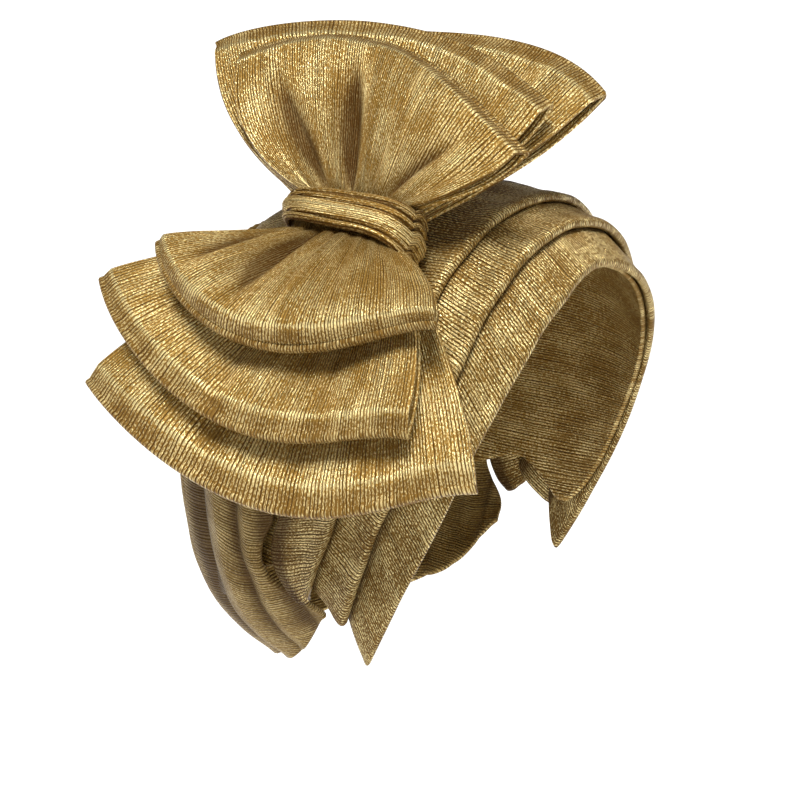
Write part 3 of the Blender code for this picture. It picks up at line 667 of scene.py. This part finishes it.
# Each layer: how far forward it lies, its upper loop and its lower loop. Each loop: its outer edge from
# its left to its right corner as the bow is faced, in columns across and along as shares of the bow's
# half width and reach; its valleys, in columns place at the waist and at the edge, depth, and half
# width; and how far it comes forward for each millimetre out from the waist.
BOW_LOOPS = {
    "bow_front": (
        LAYER_STEP,
        (
            [
                (-0.71, 0.51), (-0.52, 0.58), (-0.24, 0.62), (-0.04, 0.61),
                (0.17, 0.56), (0.43, 0.46), (0.69, 0.31),
            ],
            [(-0.45, -0.78, 2.6, 0.22), (-0.05, -0.15, 3.0, 0.20), (0.60, 0.80, 1.8, 0.20)],
            0.165,
        ),
        (
            [
                (-0.78, 0.23), (-0.64, 0.37), (-0.42, 0.49), (-0.13, 0.54),
                (0.11, 0.48), (0.34, 0.41), (0.54, 0.34),
            ],
            [(-0.45, -0.15, 3.0, 0.20), (-0.85, -0.65, 2.2, 0.20), (0.45, 0.55, 1.6, 0.25)],
            0.29,
        ),
    ),
    "bow_middle": (
        0.0,
        (
            [
                (-0.97, 0.64), (-0.74, 0.71), (-0.43, 0.76), (-0.08, 0.77),
                (0.19, 0.73), (0.45, 0.67), (0.70, 0.56),
            ],
            [(-0.50, -0.60, 1.4, 0.20), (0.30, 0.40, 1.4, 0.20)],
            0.0,
        ),
        (
            [
                (-1.10, 0.33), (-0.88, 0.52), (-0.57, 0.68), (-0.24, 0.78),
                (0.03, 0.76), (0.28, 0.73), (0.51, 0.68),
            ],
            [(-0.50, -0.35, 1.6, 0.20), (0.40, 0.50, 1.4, 0.20)],
            0.08,
        ),
    ),
    "bow_back": (
        -LAYER_STEP,
        (
            [
                (-0.89, 0.69), (-0.61, 0.79), (-0.31, 0.83), (0.03, 0.86),
                (0.33, 0.89), (0.61, 0.84), (0.86, 0.74),
            ],
            [(-0.40, -0.50, 1.4, 0.20), (0.30, 0.50, 1.6, 0.20)],
            -0.15,
        ),
        (
            [
                (-1.11, 0.65), (-0.83, 0.79), (-0.46, 0.91), (-0.07, 0.98),
                (0.24, 0.93), (0.52, 0.85), (0.79, 0.76),
            ],
            [(-0.40, -0.30, 1.6, 0.20), (0.40, 0.50, 1.6, 0.20)],
            -0.06,
        ),
    ),
}


def in_place(local):
    """Points given across, along and out of the bow, turned and moved to where the bow sits."""
    facing = unit(BOW_FACING)
    across = unit(BOW_ACROSS - BOW_ACROSS @ facing * facing)
    seat = BOW_SEAT * np.array([HEAD_HALF_WIDTH, HEAD_HALF_LENGTH, HEAD_ABOVE])
    return on_head(seat, BOW_HEIGHT) + local @ np.stack([across, np.cross(facing, across), facing])


def loop_sheet(loop, creases, sign, layer, shares, columns, side):
    """Points and outward directions of one sheet of one loop, in bow coordinates.

    shares are places from the waist to the edge and columns from the left side to the right, and side is
    1 for the front sheet and -1 for the rear one. The sheet runs straight from the waist to its edge in
    every column and bulges at its two sides, more at the left of an upper loop. It is lifted off the
    middle of its layer by half of the loop's opening, lowered in each valley by a bell curve across, and
    gathered at the waist by narrow bell curves that fade as it runs out. A front sheet also rises to the
    crease along its rim and slopes back from there, and its deep creases fall off on both sides by an
    exponential, steeper on the right. In the front layer it puffs forward by a power of a sine.
    The last coordinate is its painted shading: painted shade near the waist, on the rim past the crease
    and in deep creases, and a painted highlight along the crease.
    """
    edge_rows, valleys, lean = loop
    table = np.array(edge_rows)
    places = np.linspace(-1.0, 1.0, len(table))
    edge = np.stack([
        np.polyval(np.polyfit(places, table[:, 0], 4), columns) * BOW_HALF_ACROSS,
        sign * np.polyval(np.polyfit(places, table[:, 1], 4), columns) * BOW_REACH,
    ], -1)
    waist = np.stack([columns * WAIST_HALF_WIDTH, sign * WAIST_HALF_HEIGHT + 0.0 * columns], -1)
    ray = edge - waist
    ray = ray - unit(ray) * (LOOP_OPENING[-1][1] + BOW_WALL / 2 - RIM_REACH)
    shares = shares[:, None]
    flat = waist[None] + ray[None] * shares[..., None]
    flat[..., 0] += SIDE_BULGE * 4.0 * shares * (1.0 - shares) * columns[None, :] ** 3
    if sign > 0:
        left = np.minimum(columns[None, :], 0.0) ** 2
        flat[..., 0] -= LEFT_BULGE * 3.5 * shares ** 0.8 * (1.0 - shares) ** 1.3 * left
    lift = soft_table(shares, LOOP_OPENING, 1, 0.05)
    if side > 0:
        lift = lift + RIM_RISE * step_up(shares, 0.45, RIM_CREASE)
        lift = lift - RIM_DROP * np.clip((shares - RIM_CREASE) / (1.0 - RIM_CREASE), 0.0, 1.0)
    rise = layer + lean * shares * np.linalg.norm(ray, axis=-1)[None, :] + side * lift
    if side > 0:
        swell = np.sin(columns * 9.0 + layer) + 0.7 * np.sin(columns * 15.0 + 2.0 * layer + 1.0)
        rise = rise + SHEET_WAVES * swell[None, :] * shares ** 1.3 * (1.0 - shares) ** 0.35
    beyond_waist = np.maximum(flat[..., 0] ** 2 - WAIST_HALF_WIDTH ** 2, 0.0)
    rise = rise - BOW_BEND * beyond_waist / BOW_HALF_ACROSS ** 2
    # Painted shade near the waist and, on a front sheet, on the rim band past the crease, with a painted
    # highlight along the crease itself.
    painted_shading = 0.4 * (1.0 - shares) ** 9 + np.zeros(rise.shape)
    if side > 0:
        painted_shading = painted_shading + 0.5 * step_up(shares, RIM_CREASE + 0.008, RIM_CREASE + 0.03)
        painted_shading = painted_shading - 1.2 * np.exp(-(((shares - RIM_CREASE) / RIM_GLEAM) ** 2))
    for at, amount, half_width in WAIST_GATHERS:
        bell = np.exp(-((columns[None, :] - at) / half_width) ** 2)
        rise = rise + amount * bell * (1.0 - shares) ** RUN_OUT
    is_front_layer = layer > LAYER_STEP / 2
    if is_front_layer and side > 0:
        rise = rise + FRONT_PUFF * np.sin(np.pi * shares) ** 0.48 * (1.0 - columns[None, :] ** 2)
    sunk = np.zeros(rise.shape)
    for at_waist, at_edge, depth, half_width, deepest in creases if side > 0 else []:
        place = at_waist + (at_edge - at_waist) * shares
        rest = 1.0 - deepest
        run_in = (shares / deepest) ** (RUN_OUT * deepest)
        run_out = ((1.0 - shares) / rest) ** (RUN_OUT * rest)
        aside = columns[None, :] - place
        slope = half_width * np.where(aside > 0.0, *CREASE_SLOPES)
        sunk = np.maximum(sunk, depth * run_in * run_out * np.exp(-np.abs(aside) / slope))
    rise = rise - sunk
    # Painted shade in the deep creases.
    painted_shading = painted_shading + (sunk / DARKEST_DEPTH) ** 2
    amount = BACKING_DEPTH if is_front_layer else 1.0
    for at_waist, at_edge, depth, half_width in valleys:
        place = at_waist + (at_edge - at_waist) * shares
        dent = np.exp(-np.abs((columns[None, :] - place) / half_width) ** 1.6)
        rise = rise - amount * depth * np.sin(np.pi * shares) ** 0.8 * dent
    return np.concatenate([flat, rise[..., None], painted_shading[..., None]], -1), unit(ray)


def folded_loop(loop, creases, sign, layer, columns):
    """Rows of points out along a loop's front sheet, round its fold and back along the other sheet.

    The fold is a squared half turn: cosine and sine of the turn, each to the power of 0.55. With the
    points come each column's outward direction and each point's painted shading, with painted half
    shade round the fold.
    """
    out = np.concatenate([np.linspace(0.0, 0.87, 45) ** 0.95, np.linspace(0.885, 1.0, 11)])
    front, rays = loop_sheet(loop, creases, sign, layer, out, columns, 1)
    back, rays = loop_sheet(loop, creases, sign, layer, out[::-2], columns, -1)
    front_shading = front[..., 3]
    back_shading = back[..., 3]
    front = front[..., :3]
    back = back[..., :3]
    middle = (front[-1] + back[0]) / 2.0
    half = (front[-1] - back[0]) / 2.0
    reach = np.linalg.norm(half, axis=-1, keepdims=True) * np.append(rays, 0.0 * rays[:, :1], -1)
    turn = np.linspace(0.0, np.pi, 13)[1:-1, None, None]
    high = np.sign(np.cos(turn)) * np.abs(np.cos(turn)) ** 0.55
    fold = middle + half * high + reach * np.sin(turn) ** 0.55
    # Painted half shade round the fold.
    painted_shading = np.concatenate([front_shading, 0.5 + 0.0 * fold[..., 0], back_shading])
    return np.concatenate([front, fold, back]), rays, painted_shading


def bow_layer(name, node, layer, upper, lower, seed):
    """A closed ring: out and back along the upper loop, down through the waist, out and back along the
    lower loop. Its two faces stand half its thickness off it, to either side."""
    columns = edged(2.0, 0.03, 110) - 1.0
    upper_rows, upper_rays, upper_shading = folded_loop(upper, BOW_CREASES[node, 1], 1, layer, columns)
    lower_rows, lower_rays, lower_shading = folded_loop(lower, BOW_CREASES[node, -1], -1, layer, columns)
    # Painted full shade on the rows that run under the knot.
    shade_under_knot = np.ones((1, len(columns)))
    painted_shading = np.concatenate([shade_under_knot, upper_shading, shade_under_knot, lower_shading[::-1], shade_under_knot])
    at_middle = np.array([1.0, 0.0, 1.0])
    first = upper_rows[:1] * at_middle
    last = upper_rows[-1:] * at_middle
    points = np.concatenate([first, upper_rows, last, lower_rows[::-1]])
    is_upper = (np.arange(len(points)) < len(upper_rows) + 2)[:, None, None]
    rays = np.where(is_upper, upper_rays[None], lower_rays[None])
    sideways = np.stack([-rays[..., 1], rays[..., 0], 0.0 * rays[..., 0]], -1)
    tangent = np.roll(points, -1, axis=0) - np.roll(points, 1, axis=0)
    outward = unit(np.cross(tangent, sideways) * np.where(is_upper, 1.0, -1.0))
    points = np.concatenate([points, points[:1]])
    outward = np.concatenate([outward, outward[:1]])
    run = run_along(points[:, len(columns) // 2])
    rim = rim_fall((1.0 - np.abs(columns)) * BOW_SIDE_RUN, BOW_WALL / 2)[None, :] + np.zeros(painted_shading.shape)
    weave = weave_at(columns[None, :] * BOW_RIBS + 400.0 * seed, run[:, None])
    outside = in_place(points + outward * BOW_WALL / 2)
    inside = in_place(points - outward * BOW_WALL / 2)
    body = sew(name, outside, inside, rim, weave, painted_shading, bow_cloth, node)
    return body


bow_cloth = gold_cloth("bow_cloth", (0.35, 0.196, 0.040), 1.0)
for seed, (node, (layer, upper, lower)) in enumerate(BOW_LOOPS.items()):
    ring = bow_layer(node[4:] + "_bow", node, layer, upper, lower, seed)

# Knot: a ridged band of the same cloth, folded lengthwise and closed tight round the three waists. Its
# inside is a squared ring, as wide and deep as the waists with a little room.
KNOT_HALF_WIDTH = 22.0
KNOT_HALF_DEPTH = 11.9
KNOT_SQUARENESS = 4.0
# Columns: share of the band's half height, height over its inside.
KNOT_RIDGES = [
    (-1.00, 1.2), (-0.86, 2.6), (-0.72, 2.5), (-0.64, 1.0), (-0.52, 2.8), (-0.20, 3.4), (0.06, 3.4),
    (0.26, 3.0), (0.36, 0.9), (0.48, 2.8), (0.60, 2.6), (0.68, 0.8), (0.82, 2.6), (1.00, 1.4),
]
# How far the folds stand out at the middle of the front, how much taller the band is at its right, how
# far its right end hangs, and how far its folds swing up and down on their way round.
KNOT_SWELL = 2.6
KNOT_FLARE = 0.30
KNOT_DROOP = 3.0
KNOT_SWING = 0.26
# Fine pleats fan out towards the right: their depth there and halfway round, and how many there are.
FINE_PLEAT_DEPTHS = (1.0, 0.6)
FINE_PLEAT_COUNT = 9.0
# Painted shade in a groove between two folds: none at the first of these heights, darkest at the
# second, and a painted highlight on folds that stand higher than the first.
KNOT_GROOVE = (2.4, 0.9)
KNOT_RIBS = 11.0

turn = np.linspace(0.0, 2.0 * np.pi, 241)
power = 2.0 / KNOT_SQUARENESS
round_x = np.sign(np.cos(turn)) * np.abs(np.cos(turn)) ** power
round_y = np.sign(np.sin(turn)) * np.abs(np.sin(turn)) ** power
band = edged(2.0, 0.12, 70) - 1.0
shift = KNOT_SWING * np.sin(turn + 0.9)[:, None] * (1.0 - band ** 2)[None, :]
height = soft_table(band[None, :] + shift, KNOT_RIDGES, 1, 0.03)
at_right, halfway = FINE_PLEAT_DEPTHS
fan = halfway + (at_right - halfway) * np.cos(turn)[:, None]
pleats_across = np.abs(np.sin(band[None, :] * FINE_PLEAT_COUNT + 2.0 * np.cos(turn)[:, None]))
height = height - fan * (1.0 - pleats_across ** 0.6)
open_height, darkest_height = KNOT_GROOVE
# Painted shade in the grooves between the knot's folds, and a painted highlight on its highest folds.
painted_shading = (open_height - height) / (open_height - darkest_height)
front_swell = KNOT_SWELL * np.clip(np.sin(turn), 0.0, 1.0)[:, None] ** 1.5
front_swell = front_swell * (1.0 - 0.5 * band ** 2)[None, :]
across = round_x[:, None] * (KNOT_HALF_WIDTH + height)
out = round_y[:, None] * (KNOT_HALF_DEPTH + height) + front_swell
half_height = WAIST_HALF_HEIGHT * (1.0 + KNOT_FLARE * np.cos(turn))[:, None]
in_front = np.clip(np.sin(turn) * 3.0, 0.0, 1.0)
droop = KNOT_DROOP * np.clip(np.cos(turn) * in_front, 0.0, 1.0)[:, None] ** 1.5
level = band[None, :] * half_height - droop
outside = in_place(np.stack([across, level, out], -1))
across = round_x[:, None] * KNOT_HALF_WIDTH
out = round_y[:, None] * KNOT_HALF_DEPTH
inside = in_place(np.stack(np.broadcast_arrays(across, level, out), -1))
rim = rim_fall((1.0 - np.abs(band)) * WAIST_HALF_HEIGHT, 0.9)[None, :] + np.zeros(level.shape)
run = run_along(outside[:, len(band) // 2])
weave = weave_at(band[None, :] * KNOT_RIBS, run[:, None])
knot = sew("knot", outside, inside, rim, weave, painted_shading, bow_cloth, "bow_knot")

# Set: a pale floor well below the cap, soft light from above the front, and the viewer's place.
FLOOR_HALF_SIZE = 30.0
FLOOR_HEIGHT = -0.8
floor_mesh = bpy.data.meshes.new("floor")
signs = [(-1, -1), (1, -1), (1, 1), (-1, 1)]
corners = [(x * FLOOR_HALF_SIZE, y * FLOOR_HALF_SIZE, FLOOR_HEIGHT) for x, y in signs]
floor_mesh.from_pydata(corners, [], [(0, 1, 2, 3)])
floor = bpy.data.objects.new("floor", floor_mesh)
bpy.context.scene.collection.objects.link(floor)
floor_paint = Cloth("floor_paint")
floor_paint.join((0.9, 0.9, 0.9, 1.0), floor_paint.shader.inputs["Base Color"])
floor_paint.join(0.9, floor_paint.shader.inputs["Roughness"])
floor_mesh.materials.append(floor_paint.material)

# The viewer: its place in metres, its axes, the sensor's width, and the focal length in pixels of the
# picture, which is as wide as it is high.
EYE = np.array([-0.51391, -0.34701, 0.10324])
BACK = np.array([-0.783359, -0.548514, 0.292372])
RIGHT = np.array([0.573576, -0.819152, 0.0])
UP = np.array([0.239497, 0.167698, 0.956305])
FOCAL_PIXELS = 1620.23
PICTURE_PIXELS = 800.0
SENSOR_WIDTH = 36.0


def turned(right, up, back, eye):
    """A 4 by 4 matrix with these axes and this place, as rows."""
    rows = np.eye(4)
    rows[:3, 0] = right
    rows[:3, 1] = up
    rows[:3, 2] = back
    rows[:3, 3] = eye
    return Matrix(rows.tolist())


camera_data = bpy.data.cameras.new("camera")
camera_data.sensor_width = SENSOR_WIDTH
camera_data.lens = SENSOR_WIDTH * FOCAL_PIXELS / PICTURE_PIXELS
camera = bpy.data.objects.new("camera", camera_data)
bpy.context.scene.collection.objects.link(camera)
camera.matrix_world = turned(RIGHT, UP, BACK, EYE)
bpy.context.scene.camera = camera

# Columns: name, way to the light, strength, width of its disc in degrees.
LIGHTS = [
    ("key", (-0.46, -0.22, 0.84), 4.8, 22.0),
    ("fill", (-0.85, -0.30, 0.25), 0.15, 40.0),
    ("rim", (0.40, -0.60, 0.75), 0.4, 12.0),
]
for name, place, strength, disc in LIGHTS:
    lamp_data = bpy.data.lights.new(name, "SUN")
    lamp_data.energy = strength
    lamp_data.angle = np.radians(disc)
    lamp = bpy.data.objects.new(name, lamp_data)
    bpy.context.scene.collection.objects.link(lamp)
    back = unit(np.array(place))
    right = unit(np.cross([0.0, 0.0, 1.0], back))
    lamp.matrix_world = turned(right, np.cross(back, right), back, 2.0 * back)

# The room's own light is dimmer on the cloth than the white that shows behind it.
ROOM_LIGHT = 0.17
world = bpy.data.worlds.new("studio")
bpy.context.scene.world = world
world.use_nodes = True
background = world.node_tree.nodes["Background"]
background.inputs["Color"].default_value = (1.0, 1.0, 1.0, 1.0)
rays = world.node_tree.nodes.new("ShaderNodeLightPath")
strength = world.node_tree.nodes.new("ShaderNodeMapRange")
strength.inputs["To Min"].default_value = ROOM_LIGHT
strength.inputs["To Max"].default_value = 1.0
world.node_tree.links.new(rays.outputs["Is Camera Ray"], strength.inputs["Value"])
world.node_tree.links.new(strength.outputs["Result"], background.inputs["Strength"])
bpy.context.scene.view_settings.view_transform = "Standard"
